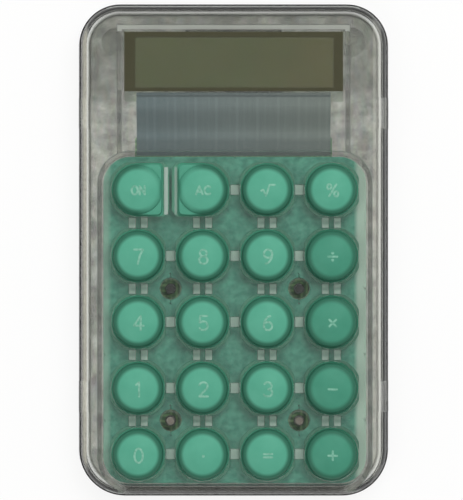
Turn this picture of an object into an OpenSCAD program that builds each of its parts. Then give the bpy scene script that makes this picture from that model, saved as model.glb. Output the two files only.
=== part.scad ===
// Calculator with a clear two-part case, a segment display and a keypad of twenty domed keys.
// Millimetres. The origin is on the surface that the feet rest on, under the middle of the case:
// +X is to the right, +Y is towards the display and +Z is out of the front.

/* [Case] */
// Width of the closed case
case_w = 75; // [68:0.5:84]
// Length of the closed case, from its display end to its keypad end
case_l = 119; // [108:0.5:130]
// Thickness of the closed case, without its feet
case_h = 12.4; // [12.2:0.2:15]
// Wall thickness of both shells
wall = 1.8; // [1.6:0.1:2]
// Corner radius at the display end, seen from the front
corner_r_top = 10.2; // [9:0.2:12]
// Corner radius at the keypad end, seen from the front
corner_r_bottom = 11.4; // [10:0.2:12]
// Rounding of the front and back edges
edge_r = 3; // [2.4:0.1:3.4]
// How far each side leans in between the parting line and the front or the back
side_lean = 0.6; // [0.2:0.1:0.8]
// Share of the thickness that the back shell takes
back_share = 0.45; // [0.43:0.01:0.47]

/* [Feet] */
// Diameter of a rubber foot
foot_d = 7; // [5:0.5:8]
// How far a foot stands out of the back
foot_h = 0.6; // [0.4:0.1:1]
// From the sides and ends of the case to the middle of a foot
foot_inset = 9; // [8.5:0.5:12]

/* [Keys] */
// From each side of the case to the middle of the outer columns of keys
keypad_side = 14.25; // [13.95:0.05:14.3]
// From the display end of the case to the middle of the top row of keys
keypad_top = 45; // [44.6:0.1:46]
// Space between neighbouring keys where they lie closest
key_space = 3.4; // [3.3:0.1:3.9]
// How far the keypad sits to the right of the middle
keypad_x = 0.3; // [-0.3:0.1:0.5]
// From the keypad end of the case to the middle of the bottom row of keys
keypad_margin = 10.4; // [10.2:0.1:11.4]
// How far a key moves down
key_travel = 1.2; // [0.8:0.1:1.3]
// Height of a key's straight side above the front
key_rise = 0.9; // [0.6:0.1:1.5]
// Rise of a key's domed top above its straight side
key_crown = 1.3; // [0.8:0.1:1.8]
// Radius of the edge around a key's domed top
key_edge_r = 0.7; // [0.3:0.1:1]
// Gap between a key and the edge of its hole
key_gap = 0.4; // [0.3:0.05:0.5]
// Thickness of the flange that holds a key in
flange_t = 0.9; // [0.7:0.1:1]
// Width of the bar between the two paired keys
bar_w = 3.6; // [3:0.1:4]

/* [Key mat] */
// Thickness of the rubber sheet
mat_t = 1; // [0.8:0.1:1.1]
// Height of a rubber dome above the sheet
dome_h = 2.75; // [2.6:0.05:3]
// From the middle of the outer columns to the sides of the mat
mat_side = 8.5; // [8.2:0.1:8.6]
// From the middle of the top row to the top edge of the mat
mat_top = 8; // [7.8:0.1:9]
// From the middle of the bottom row to the bottom edge of the mat
mat_bottom = 7.3; // [7:0.1:7.4]
// Corner radius of the mat
mat_corner_r = 6.5; // [6:0.5:8]

/* [Display] */
// Width of the display glass
lcd_w = 52.6; // [48:0.2:56]
// Height of the front glass
lcd_l = 14.3; // [14:0.1:16]
// From the display end of the case to the glass
lcd_margin = 7; // [6.5:0.1:8]
// Width of the gasket at each side of its window
gasket_side = 2.4; // [2.2:0.1:4]
// Width of the gasket above and below its window
gasket_end = 1.05; // [0.9:0.05:1.6]
// Thickness of each of the two glasses
glass_t = 0.7; // [0.5:0.1:0.8]
// How far the rear glass reaches past the front one, for the ribbon
ledge_l = 2.5; // [2:0.1:3]
// Width of the ribbon
ribbon_w = 46.8; // [40:0.2:48]

/* [Circuit board] */
// Thickness of the circuit board
board_t = 1.2; // [0.8:0.1:1.6]
// Length of the tab that the ribbon is bonded to
board_tab = 4.6; // [4:0.1:6]

/* [Screws] */
// Thread diameter of a case screw
screw_d = 2; // [1.6:0.1:2.2]
// Head diameter of a case screw
head_d = 4; // [3.6:0.1:4.2]

/* [Battery] */
// Diameter of the button cell
cell_d = 11.6; // [9.5:0.1:11.6]
// Thickness of the button cell
cell_h = 3.05; // [2.1:0.05:3.05]
// Width of the battery door
door_w = 21.5; // [20:0.5:26]
// Length of the battery door
door_l = 17; // [16:0.5:18]
// How far the battery door slides open
door_travel = 6; // [4:0.5:7]

/* [Latches] */
// Length of a side latch
latch_l = 7.4; // [5:0.2:9]
// From the keypad end of the case to the middle of the lower latches
latch_low = 24.2; // [22:0.2:30]
// From the display end of the case to the middle of the upper latches
latch_high = 26.5; // [22:0.2:30]

/* [Hidden] */
KEYS = [
    "key_on", "key_clear", "key_root", "key_percent",
    "key_7", "key_8", "key_9", "key_divide",
    "key_4", "key_5", "key_6", "key_multiply",
    "key_1", "key_2", "key_3", "key_minus",
    "key_0", "key_point", "key_equals", "key_plus",
];
$fn = 64;
columns = 4;
rows = 5;
embed = 0.5; // how far a rib or boss reaches into the wall that carries it
gap = 0.15; // clearance between pieces that slide or drop into each other
cut = 1; // how far a cut runs past the face it opens

// Heights of the stack, from the surface it rests on up to the front.
back_z = foot_h;
floor_z = back_z + wall;
part_z = back_z + back_share * case_h;
front_z = back_z + case_h;
plate_z = front_z - wall;
flange_top = plate_z - 0.1;
flange_z = flange_top - flange_t;
dome_z = flange_z - 0.05;
cap_z = front_z + key_rise; // where a key's dome starts
board_top = dome_z - dome_h - mat_t;
board_z = board_top - board_t;
sheet_z = board_top + mat_t;
rib_z = flange_z - key_travel - 0.1; // lower end of the ribs that guide the flanges

// Plan of the keypad.
key_pitch_x = (case_w - 2 * keypad_side) / (columns - 1);
key_pitch_y = (case_l - keypad_top - keypad_margin) / (rows - 1);
key_r = (min(key_pitch_x, key_pitch_y) - key_space) / 2;
hole_r = key_r + key_gap;
flange_r = key_r + 1.15;
bottom_row_y = -case_l / 2 + keypad_margin;
top_row_y = bottom_row_y + (rows - 1) * key_pitch_y;
guide_w = 2; // width of the ribs between the columns
guide_l = 2.4; // length of the ribs between the rows
guide_pair_w = 1.6; // width of each of the two ribs between two rows
guide_pair_gap = 1.3; // gap between those two
flat_x = (key_pitch_x - guide_w) / 2 - gap;
flat_y = (key_pitch_y - guide_l) / 2 - gap;
pair_corner_r = 1;
pair_step = 0.4; // how far a paired key's square side lies below the edge of its dome
pair_lip = 0.1; // how far its dome stands back from its sides
pair_face = (key_pitch_x - bar_w) / 2 - key_gap * 0.75; // from a paired key's middle to its flat side
mat_w = (columns - 1) * key_pitch_x + 2 * mat_side;
mat_low_y = bottom_row_y - mat_bottom;
mat_high_y = top_row_y + mat_top;
mat_l = mat_high_y - mat_low_y;
mat_y = (mat_low_y + mat_high_y) / 2;

// Rubber domes.
dome_base_r = key_r + 0.15;
dome_wall = 0.8;
dome_cavity_r = dome_base_r - dome_wall;
dome_post_r = key_r - 1.65;
dome_web = 0.6;
peg_r = dome_post_r - 1.5;
peg_h = 1.5;
pill_r = 2;

// Fences under the front that hold the mat and the display.
fence_t = 1;
fence_gap = 0.25;
display_rib_t = 1.1;
display_rib_gap = 0.6;
display_rib_z = plate_z - 2.2;

// Display stack.
gasket_t = 0.3;
window_shift = 0.2; // how far the gasket's window sits to the lower right
polariser_t = 0.2;
lcd_high_y = case_l / 2 - lcd_margin;
lcd_y = lcd_high_y - lcd_l / 2;
lcd_low_y = lcd_high_y - lcd_l;
gasket_z = plate_z - gasket_t;
front_polariser_z = gasket_z - polariser_t;
front_glass_z = front_polariser_z - glass_t;
rear_glass_z = front_glass_z - glass_t;
reflector_z = rear_glass_z - polariser_t;
cushion_t = 1;
cushion_w = 12;
cushion_l = 11;
cushion_x = lcd_w / 2 - cushion_w / 2 - 2;

// Ribbon.
ribbon_t = 0.15;
ribbon_high_y = lcd_low_y - 0.3;
ribbon_low_y = mat_high_y + fence_gap;
ribbon_bend_high = lcd_low_y - ledge_l - 0.5;
ribbon_bend_low = mat_high_y + board_tab + 0.8;
ribbon_steps = 14;

// Board.
board_inset = 0.4;
board_edge_y = mat_high_y + board_tab;
board_hole_r = screw_d / 2 + 0.3;
chip_r = 4.5;
chip_h = 1.3;
component_w = 3.2;
component_l = 1.6;
component_h = 1;
component_pitch = 5;
component_y = top_row_y - key_pitch_y / 2 + chip_r + 4.3;

// Screws and their bosses.
boss_r = screw_d / 2 + 1.2;
seat_boss_r = head_d / 2 + 1;
post_r = 1.2; // posts under the board
head_t = 1.2;
head_z = back_z + 1.4;
seat_z = head_z + head_t;
pilot_r = screw_d / 2 + 0.02;
pilot_over = 0.4; // how far a boss's hole runs past the tip of its screw
screw_tip_z = plate_z - 1.4;

// Battery.
door_t = wall - 0.7;
door_lip_t = 0.5;
door_tongue = 0.8;
door_y = lcd_y;
grip_lines = 5;
grip_pitch = 1.4;
grip_w = 10;
grip_depth = 0.35;
cell_z = back_z + door_t + 0.05;
cell_top = cell_z + cell_h;
cell_rim = 0.3; // height of the cell's smaller, negative face above its can
bay_r = cell_d / 2 + 0.3;
bay_wall = 1;
bay_top = cell_top - cell_rim; // upper end of the wall around the cell
strip_t = 0.3;
strip_w = 4;

// Latches and the lip between the shells.
lip_t = 0.8;
lip_gap = 0.15;
lip_z = part_z + 0.8;
fence_z = lip_z + 0.15;
latch_ys = [-case_l / 2 + latch_low, case_l / 2 - latch_high];
window_z = part_z + 1.3;
window_h = 1.4;
latch_x = case_w / 2 - wall - lip_gap;
latch_root = 1.5; // how far a latch reaches below the parting line
rim_root = 1.2; // the same for the lip
notch_l = 2.6;
notch_depth = 1;
notch_low = part_z - 1.2;
notch_high = part_z + 0.9;

function key_x(column) = keypad_x + (column - (columns - 1) / 2) * key_pitch_x;
function key_y(row) = top_row_y - row * key_pitch_y;
// smooth step from 0 to 1
function ease(t) = t * t * (3 - 2 * t);
// -1 or 1 for a paired key whose flat side faces left or right, and 0 for a round key
function pair_side(column, row) = row > 0 || column > 1 ? 0 : 1 - 2 * column;

// ---- Shared outlines ----

// What a rounded corner takes off a square one, beyond a circle around the origin
module corner_cut(r) {
    difference() {
        square(2 * r);
        circle(r);
    }
}

// Rectangle about the origin with its own corner radius at each end
module round_rect(w, l, r_top, r_bottom) {
    difference() {
        square([w, l], center = true);
        for (side = [0, 1]) mirror([side, 0]) {
            translate([w / 2 - r_top, l / 2 - r_top]) corner_cut(r_top);
            mirror([0, 1]) translate([w / 2 - r_bottom, l / 2 - r_bottom]) corner_cut(r_bottom);
        }
    }
}

// Section through a side, from inside out to reach: it leans in as it rises and its top is rounded
module edge_section(reach, low, high, round_r) {
    lean_x = reach - side_lean;
    difference() {
        polygon([[0, low], [reach, low], [lean_x, high], [0, high]]);
        translate([lean_x - round_r, high - round_r]) corner_cut(round_r);
    }
}

// Block with the plan of the case, grown by grow, and edge_section all round it. Each quarter is built out
// from the axis of its corner, and neighbouring quarters overlap half way.
module case_block(grow, low, high, round_r) {
    for (side = [0, 1], end = [0, 1]) mirror([side, 0, 0]) mirror([0, end, 0]) {
        corner = end == 0 ? corner_r_top : corner_r_bottom;
        axis = [case_w / 2 - corner, case_l / 2 - corner, 0];
        translate(axis) rotate_extrude(angle = 90) edge_section(corner + grow, low, high, round_r);
        translate(axis) rotate([90, 0, 0])
            linear_extrude(axis.y + embed) edge_section(corner + grow, low, high, round_r);
        translate(axis) rotate([90, 0, 90]) mirror([0, 0, 1])
            linear_extrude(axis.x + embed) edge_section(corner + grow, low, high, round_r);
        translate([-embed, -embed, low]) cube([axis.x + 2 * embed, axis.y + 2 * embed, high - low]);
    }
}

// Outline of the mat, grown by grow
module mat_outline(grow) {
    corner = mat_corner_r + grow;
    translate([keypad_x, mat_y]) round_rect(mat_w + 2 * grow, mat_l + 2 * grow, corner, corner);
}

// Outline inside the walls at the parting line, grown by grow
module inner_outline(grow) {
    inset = grow - wall;
    round_rect(case_w + 2 * inset, case_l + 2 * inset, corner_r_top + inset, corner_r_bottom + inset);
}

// Circle, or for a paired key a circle with one square side that ends at face, towards the bar
module key_plan(side, r, face) {
    if (side == 0) circle(r);
    else mirror([side < 0 ? 1 : 0, 0]) {
        intersection() {
            circle(r);
            translate([-r - cut, -r - cut]) square([r + cut, 2 * (r + cut)]);
        }
        difference() {
            translate([0, -r]) square([face, 2 * r]);
            for (end = [0, 1]) mirror([0, end])
                translate([face - pair_corner_r, r - pair_corner_r]) corner_cut(pair_corner_r);
        }
    }
}

// Puts its children at each case screw; which picks the upper pair, the lower pair or both
module at_screws(which = [0, 1]) {
    for (pair = which, column = [0.5, 2.5])
        translate([key_x(column), key_y(1.5 + 2 * pair), 0]) children();
}

// Puts its children on both sides of the case at each latch, with +X outwards
module at_latches() {
    for (side = [0, 1], y = latch_ys) mirror([side, 0, 0]) translate([0, y, 0]) children();
}

// Slot for a coin at the parting line, on the right beside the lower latch
module pry_notch() {
    translate([case_w / 2 - notch_depth, latch_ys[0] - notch_l / 2, notch_low])
        cube([notch_depth + cut, notch_l, notch_high - notch_low]);
}

// ---- Case ----

// Ribs on the underside of the front, which bear on the flats of the flanges and keep the legends upright
module key_guides() {
    rib_h = plate_z + embed - rib_z;
    pair_x = (guide_pair_gap + guide_pair_w) / 2;
    for (row = [0:rows - 1], column = [0:columns - 2])
        if (row > 0 || column > 0)
            translate([key_x(column + 0.5) - guide_w / 2, key_y(row) - guide_l / 2, rib_z])
                cube([guide_w, guide_l, rib_h]);
    for (row = [0:rows - 2], column = [0:columns - 1], side = [-1, 1])
        translate([key_x(column) + side * pair_x - guide_pair_w / 2, key_y(row + 0.5) - guide_l / 2, rib_z])
            cube([guide_pair_w, guide_l, rib_h]);
}

// Ribs along both sides and the top of the display
module display_fence() {
    half = lcd_w / 2 + display_rib_gap;
    high = lcd_high_y + display_rib_gap;
    low = mat_high_y + fence_gap + fence_t / 2;
    rib_h = plate_z + embed - display_rib_z;
    for (side = [0, 1]) mirror([side, 0, 0])
        translate([half, low, display_rib_z]) cube([display_rib_t, high - low + display_rib_t, rib_h]);
    translate([-half, high, display_rib_z]) cube([2 * half, display_rib_t, rib_h]);
}

module top_shell() {
    color([0.8, 0.82, 0.8, 0.35]) difference() {
        union() {
            difference() {
                case_block(0, part_z, front_z, edge_r);
                case_block(-wall, part_z - cut, plate_z, edge_r - wall);
            }
            translate([0, 0, fence_z]) linear_extrude(plate_z + embed - fence_z) difference() {
                mat_outline(fence_gap + fence_t);
                mat_outline(fence_gap);
            }
            display_fence();
            key_guides();
            at_screws() translate([0, 0, board_top]) cylinder(h = plate_z + embed - board_top, r = boss_r);
        }
        for (row = [0:rows - 1], column = [0:columns - 1])
            translate([key_x(column), key_y(row), plate_z - cut]) linear_extrude(wall + 2 * cut)
                key_plan(pair_side(column, row), hole_r, (key_pitch_x - bar_w) / 2);
        at_screws() translate([0, 0, board_top - cut])
            cylinder(h = screw_tip_z + pilot_over + cut - board_top, r = pilot_r);
        at_latches() translate([latch_x - cut, -latch_l / 2, window_z])
            cube([wall + 2 * cut, latch_l, window_h]);
        pry_notch();
    }
}

// Spring tongue with a hooked end, outwards along +X
module latch() {
    low = part_z - latch_root;
    high = window_z + window_h + 0.3;
    hook_h = window_h - 0.2;
    reach = wall - 0.5;
    translate([latch_x - lip_t, -latch_l / 2 + 0.2, low]) cube([lip_t, latch_l - 0.4, high - low]);
    translate([latch_x, latch_l / 2 - gap, window_z + 0.1]) rotate([90, 0, 0])
        linear_extrude(latch_l - 2 * gap)
            polygon([[-embed, 0], [reach, 0], [reach, 0.3], [0, hook_h], [-embed, hook_h]]);
}

// Cut for the battery door: its recess, the grooves for its tongues and the room to slide
module door_recess() {
    length = door_l + door_travel + 2 * gap;
    low = door_y - door_l / 2 - door_travel - gap;
    for (step = [[0, -cut], [door_tongue, door_lip_t]])
        translate([-door_w / 2 - step[0] - gap, low, back_z + step[1]])
            cube([door_w + 2 * step[0] + 2 * gap, length, door_t + gap - step[1]]);
}

module bottom_shell() {
    color([0.8, 0.82, 0.8, 0.35]) difference() {
        union() {
            difference() {
                mirror([0, 0, 1]) case_block(0, -part_z, -back_z, edge_r);
                mirror([0, 0, 1]) case_block(-wall, -part_z - cut, -floor_z, edge_r - wall);
            }
            translate([0, 0, part_z - rim_root]) linear_extrude(rim_root) difference() {
                inner_outline(0.2);
                inner_outline(-lip_gap - lip_t);
            }
            translate([0, 0, part_z - embed]) linear_extrude(lip_z + embed - part_z) difference() {
                inner_outline(-lip_gap);
                inner_outline(-lip_gap - lip_t);
            }
            at_latches() latch();
            at_screws() translate([0, 0, floor_z - embed])
                cylinder(h = board_z + embed - floor_z, r = seat_boss_r);
            board_posts();
            display_ribs();
            translate([0, door_y, floor_z - embed])
                cylinder(h = bay_top + embed - floor_z, r = bay_r + bay_wall);
        }
        at_screws() translate([0, 0, back_z - cut]) cylinder(h = seat_z + cut - back_z, r = head_d / 2 + 0.3);
        at_screws() translate([0, 0, back_z]) cylinder(h = board_z + cut - back_z, r = screw_d / 2 + 0.2);
        for (x = [-1, 1], y = [-1, 1])
            translate([x * (case_w / 2 - foot_inset), y * (case_l / 2 - foot_inset), back_z - cut])
                cylinder(h = cut + 0.4, r = foot_d / 2 + 0.1);
        door_recess();
        translate([0, door_y, back_z]) cylinder(h = cell_top + cut, r = bay_r);
        translate([bay_r - 0.6, door_y - strip_w / 2 - 0.3, cell_z + 0.6])
            cube([bay_wall + 2, strip_w + 0.6, cell_h]);
        pry_notch();
    }
}

// Posts that carry the circuit board where keys are pressed between the bosses
module board_posts() {
    for (place = [[1.5, 1.5], [1.5, 3.5], [0.5, 2.5], [2.5, 2.5]])
        translate([key_x(place[0]), key_y(place[1]), floor_z - embed])
            cylinder(h = board_z + embed - floor_z, r = post_r);
}

// Pairs of ribs that hold the display's cushions up
module display_ribs() {
    for (side = [0, 1], y = [-1, 1]) mirror([side, 0, 0])
        translate([cushion_x - cushion_w / 2, lcd_y + y * cushion_l / 3 - 0.5, floor_z - embed])
            cube([cushion_w, 1, reflector_z - cushion_t + embed - floor_z]);
}

module battery_door() {
    color([0.8, 0.82, 0.8, 0.35]) difference() {
        union() {
            translate([-door_w / 2, door_y - door_l / 2, back_z]) cube([door_w, door_l, door_t]);
            translate([-door_w / 2 - door_tongue, door_y - door_l / 2, back_z + door_lip_t + gap])
                cube([door_w + 2 * door_tongue, door_l, door_t - door_lip_t - gap]);
        }
        for (line = [0:grip_lines - 1])
            translate([-grip_w / 2, door_y - door_l / 2 + grip_pitch * (line + 1.5), back_z - cut])
                cube([grip_w, grip_pitch / 2, cut + grip_depth]);
    }
}

module rubber_feet() {
    color([0.8, 0.82, 0.8, 0.6]) for (x = [-1, 1], y = [-1, 1])
        translate([x * (case_w / 2 - foot_inset), y * (case_l / 2 - foot_inset), 0])
            cylinder(h = back_z + 0.4, r = foot_d / 2);
}

// Pan-head screw, head down, with a cross recess
module case_screw() {
    difference() {
        union() {
            translate([0, 0, head_z]) cylinder(h = head_t, r = head_d / 2);
            translate([0, 0, head_z]) cylinder(h = screw_tip_z - head_z, r = screw_d / 2);
        }
        for (turn = [0, 90]) rotate([0, 0, turn])
            translate([-head_d / 3, -0.25, head_z - cut]) cube([head_d * 2 / 3, 0.5, cut + 0.7]);
    }
}

module upper_case_screws() {
    color([0.12, 0.12, 0.12]) at_screws([0]) case_screw();
}

module lower_case_screws() {
    color([0.5, 0.38, 0.33]) at_screws([1]) case_screw();
}

// ---- Display ----

module display_gasket() {
    color([0.31, 0.31, 0.24]) translate([0, lcd_y, gasket_z]) linear_extrude(gasket_t) difference() {
        square([lcd_w, lcd_l], center = true);
        translate([window_shift, -window_shift])
            square([lcd_w - 2 * gasket_side, lcd_l - 2 * gasket_end], center = true);
    }
}

module front_polariser() {
    color([0.37, 0.38, 0.29]) translate([0, lcd_y, front_polariser_z]) linear_extrude(polariser_t)
        square([lcd_w - 0.6, lcd_l - 0.6], center = true);
}

module front_glass() {
    color([0.45, 0.48, 0.4]) translate([0, lcd_y, front_glass_z]) linear_extrude(glass_t)
        square([lcd_w, lcd_l], center = true);
}

module rear_glass() {
    color([0.45, 0.48, 0.4]) translate([0, lcd_y - ledge_l / 2, rear_glass_z]) linear_extrude(glass_t)
        square([lcd_w, lcd_l + ledge_l], center = true);
}

module reflector() {
    color([0.5, 0.52, 0.42]) translate([0, lcd_y, reflector_z]) linear_extrude(polariser_t)
        square([lcd_w - 0.6, lcd_l - 0.6], center = true);
}

module display_cushions() {
    color([0.2, 0.2, 0.2]) for (side = [-1, 1])
        translate([side * cushion_x - cushion_w / 2, lcd_y - cushion_l / 2, reflector_z - cushion_t])
            cube([cushion_w, cushion_l, cushion_t]);
}

// Printed film from the ledge of the rear glass down to the tab of the circuit board
module ribbon_connector() {
    drop = front_glass_z - board_top;
    bend = [for (i = [0:ribbon_steps]) [
        ribbon_bend_low + (ribbon_bend_high - ribbon_bend_low) * i / ribbon_steps,
        board_top + drop * ease(i / ribbon_steps),
    ]];
    path = concat([[ribbon_low_y, board_top]], bend, [[ribbon_high_y, front_glass_z]]);
    last = len(path) - 1;
    color([0.39, 0.43, 0.43]) translate([-ribbon_w / 2, 0, 0]) rotate([90, 0, 90]) linear_extrude(ribbon_w)
        polygon(concat(path, [for (i = [last:-1:0]) path[i] + [0, ribbon_t]]));
}

// ---- Circuit board ----

module circuit_board() {
    corner = mat_corner_r - board_inset;
    tab_w = ribbon_w + 0.8;
    color([0.55, 0.5, 0.36]) translate([0, 0, board_z]) linear_extrude(board_t) difference() {
        union() {
            translate([keypad_x, mat_y])
                round_rect(mat_w - 2 * board_inset, mat_l - 2 * board_inset, corner, corner);
            translate([-tab_w / 2, mat_high_y - 2]) square([tab_w, board_tab + 2]);
        }
        at_screws() circle(board_hole_r);
    }
}

// Two printed pads under each dome, a gap apart
module carbon_contacts() {
    color([0.15, 0.15, 0.15]) for (row = [0:rows - 1], column = [0:columns - 1])
        translate([key_x(column), key_y(row), board_top]) linear_extrude(0.05) difference() {
            circle(pill_r + 0.6);
            square([0.5, 4 * pill_r], center = true);
        }
}

// Bonded chip under its drop of black resin, on the back of the board
module driver_chip() {
    rise = chip_h;
    cap_r = (chip_r * chip_r + rise * rise) / (2 * rise);
    color([0.1, 0.1, 0.1]) translate([key_x(1.5), key_y(0.5), board_z]) mirror([0, 0, 1]) intersection() {
        cylinder(h = rise + cut, r = chip_r + cut);
        translate([0, 0, rise - cap_r]) sphere(cap_r, $fn = 256);
    }
}

// Chip capacitors and resistors in a row beside the chip
module board_components() {
    color([0.7, 0.6, 0.45]) for (place = [-1.5:1.5])
        translate([key_x(1.5) + place * component_pitch, component_y, board_z - component_h / 2])
            cube([component_w, component_l, component_h], center = true);
}

// ---- Key mat and keys ----

// Section of one dome from its axis out: carbon pill, plunger, web, foot and the peg for the key
module dome_section() {
    pill_z = board_top + key_travel + 0.05;
    web_z = dome_z - 1.2;
    polygon([
        [0, pill_z], [pill_r, pill_z], [pill_r, web_z - dome_web], [dome_post_r - 0.5, web_z - dome_web],
        [dome_cavity_r, sheet_z - 0.4], [dome_cavity_r, board_top], [dome_base_r, board_top],
        [dome_base_r, sheet_z], [dome_post_r, web_z], [dome_post_r, dome_z], [peg_r, dome_z],
        [peg_r, dome_z + peg_h], [0, dome_z + peg_h],
    ]);
}

module key_mat() {
    color([0.35, 0.53, 0.47, 0.9]) {
        translate([0, 0, board_top]) linear_extrude(mat_t) difference() {
            mat_outline(0);
            for (row = [0:rows - 1], column = [0:columns - 1])
                translate([key_x(column), key_y(row)]) circle((dome_base_r + dome_cavity_r) / 2);
            at_screws() circle(boss_r + 0.4);
        }
        for (row = [0:rows - 1], column = [0:columns - 1])
            translate([key_x(column), key_y(row), 0]) rotate_extrude() dome_section();
    }
}

// Section of a cap from its axis out: domed top, rounded edge and straight side at r, down to low
module cap_section(r, low) {
    crown_r = (key_r * key_r + key_crown * key_crown) / (2 * key_crown);
    centre_z = cap_z + key_crown - crown_r;
    edge_x = r - key_edge_r;
    edge_z = centre_z + sqrt(pow(crown_r - key_edge_r, 2) - pow(edge_x, 2));
    meet_x = edge_x * crown_r / (crown_r - key_edge_r); // where the dome runs into the edge
    translate([0, low]) square([r, edge_z - low]);
    translate([edge_x, edge_z]) circle(key_edge_r);
    intersection() {
        translate([0, centre_z]) circle(crown_r, $fn = 256);
        translate([0, low]) square([meet_x, cap_z + key_crown + cut - low]);
    }
}

// One key: a domed cap on a flange whose flats run along the guide ribs, hollow for the peg of the mat
module keycap(column, row) {
    side = pair_side(column, row);
    step_z = cap_z - pair_step;
    key_d = 2 * key_r;
    under_bar = key_pitch_x / 2 - 2 * gap;
    left = side < 0 ? under_bar : flat_x;
    right = side > 0 ? under_bar : flat_x;
    tint = column == 3 && row > 0 ? [0.31, 0.57, 0.48] : [0.38, 0.66, 0.55];
    color(tint) translate([key_x(column), key_y(row), 0]) difference() {
        union() {
            translate([0, 0, flange_z]) linear_extrude(flange_t) intersection() {
                key_plan(side, flange_r, under_bar);
                translate([-left, -flat_y]) square([left + right, 2 * flat_y]);
            }
            if (side == 0) rotate_extrude() cap_section(key_r, flange_z);
            else {
                translate([0, 0, flange_z]) linear_extrude(step_z - flange_z)
                    key_plan(side, key_r, pair_face);
                mirror([side < 0 ? 1 : 0, 0, 0]) intersection() {
                    rotate_extrude() cap_section(key_r - pair_lip, step_z - embed);
                    translate([-key_d, -key_d, step_z - cut])
                        cube([key_d + pair_face - pair_lip, 2 * key_d, key_d]);
                }
            }
        }
        translate([0, 0, flange_z - cut]) cylinder(h = peg_h + 0.4 + cut, r = peg_r + 0.2);
    }
}

// ---- Battery ----

module button_cell() {
    color("silver") translate([0, door_y, cell_z]) {
        cylinder(h = cell_h - cell_rim, r = cell_d / 2);
        cylinder(h = cell_h, r = cell_d / 2 - 1);
    }
}

// Flat spring strip from the cell down to the back of the board, as a section along Y
module strip_section(start) {
    bend_high = door_y - cell_d / 2 - bay_wall - 0.6;
    bend_low = board_edge_y + 0.8;
    end_z = board_z - strip_t;
    path = [[board_edge_y - 2.5, end_z], [bend_low, end_z], [bend_high, cell_top], [start, cell_top]];
    polygon(concat(path, [for (i = [3:-1:0]) path[i] + [0, strip_t]]));
}

module negative_contact() {
    color("gainsboro") translate([-strip_w / 2, 0, 0]) rotate([90, 0, 90]) linear_extrude(strip_w)
        strip_section(door_y + 3);
}

module positive_contact() {
    leaf_x = cell_d / 2 + 0.02;
    leaf_low = cell_z + 0.8;
    color("gainsboro") {
        translate([leaf_x, 0, 0]) rotate([90, 0, 90]) linear_extrude(strip_w - 1)
            strip_section(door_y + strip_w / 2);
        translate([leaf_x, door_y - strip_w / 2, leaf_low])
            cube([strip_t, strip_w, cell_top + strip_t - leaf_low]);
    }
}

top_shell();
bottom_shell();
battery_door();
rubber_feet();
upper_case_screws();
lower_case_screws();
display_gasket();
front_polariser();
front_glass();
rear_glass();
reflector();
display_cushions();
ribbon_connector();
circuit_board();
carbon_contacts();
driver_chip();
board_components();
key_mat();
button_cell();
negative_contact();
positive_contact();
for (i = [0:len(KEYS) - 1])
    keycap(i % columns, floor(i / columns));
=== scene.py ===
import math

import bpy
import numpy as np
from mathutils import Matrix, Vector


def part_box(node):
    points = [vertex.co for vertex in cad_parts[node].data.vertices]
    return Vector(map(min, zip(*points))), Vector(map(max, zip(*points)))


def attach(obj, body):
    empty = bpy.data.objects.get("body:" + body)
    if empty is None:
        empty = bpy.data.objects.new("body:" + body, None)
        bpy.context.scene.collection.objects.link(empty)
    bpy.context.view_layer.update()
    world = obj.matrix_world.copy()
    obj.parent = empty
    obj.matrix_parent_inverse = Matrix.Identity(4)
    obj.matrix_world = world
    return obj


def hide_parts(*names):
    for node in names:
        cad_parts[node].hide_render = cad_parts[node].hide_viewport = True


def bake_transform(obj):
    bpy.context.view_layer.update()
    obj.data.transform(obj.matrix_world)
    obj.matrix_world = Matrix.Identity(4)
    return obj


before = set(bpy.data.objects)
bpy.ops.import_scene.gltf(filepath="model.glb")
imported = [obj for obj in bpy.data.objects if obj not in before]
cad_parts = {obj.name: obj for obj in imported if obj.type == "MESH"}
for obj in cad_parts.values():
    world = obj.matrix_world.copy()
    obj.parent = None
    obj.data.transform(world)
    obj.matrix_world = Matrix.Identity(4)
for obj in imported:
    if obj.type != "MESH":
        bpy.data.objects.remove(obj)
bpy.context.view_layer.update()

# ---- Back shell and battery door ----
# The back of the case and its sliding battery door are clear polystyrene, moulded in a polished tool and a
# little smoky. Its tint is darker than the front's, partly smoke and partly painted shade for the shaded
# table seen through it. Flow marks and streaks in the wall break up what is seen through it.
mm = 0.001


def linear(colour):
    """A colour written as sRGB hex, turned to linear RGBA."""
    parts = np.array([int(colour[i : i + 2], 16) for i in (1, 3, 5)]) / 255
    return (*np.where(parts <= 0.04045, parts / 12.92, ((parts + 0.055) / 1.055) ** 2.4).tolist(), 1)


def new_material(name):
    """An empty material and its node tree."""
    made = bpy.data.materials.new(name)
    made.use_nodes = True
    made.node_tree.nodes.clear()
    return made, made.node_tree


def add(tree, kind, joins=None, **settings):
    """One node. Settings are its own properties, and joins gives each input a value or another's output."""
    made = tree.nodes.new("ShaderNode" + kind)
    for name, value in settings.items():
        setattr(made, name, value)
    for name, value in (joins or {}).items():
        if isinstance(value, bpy.types.NodeSocket):
            tree.links.new(value, made.inputs[name])
        else:
            made.inputs[name].default_value = value
    return made


def give(node, material):
    """Puts a material on all slots of a CAD node."""
    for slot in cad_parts[node].material_slots:
        slot.material = material


def lit_through(tree, body, colour):
    """A shader's output: body to the eye, while light on its way to shadows and matt surfaces passes
    straight through it, tinted by a colour."""
    seen = add(tree, "LightPath")
    rays = {0: seen.outputs["Is Shadow Ray"], 1: seen.outputs["Is Diffuse Ray"]}
    lit = add(tree, "Math", rays, operation="MAXIMUM")
    through = add(tree, "BsdfTransparent", {"Color": linear(colour)})
    return add(tree, "MixShader", {0: lit.outputs[0], 1: body.outputs[0], 2: through.outputs[0]}).outputs[0]


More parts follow.
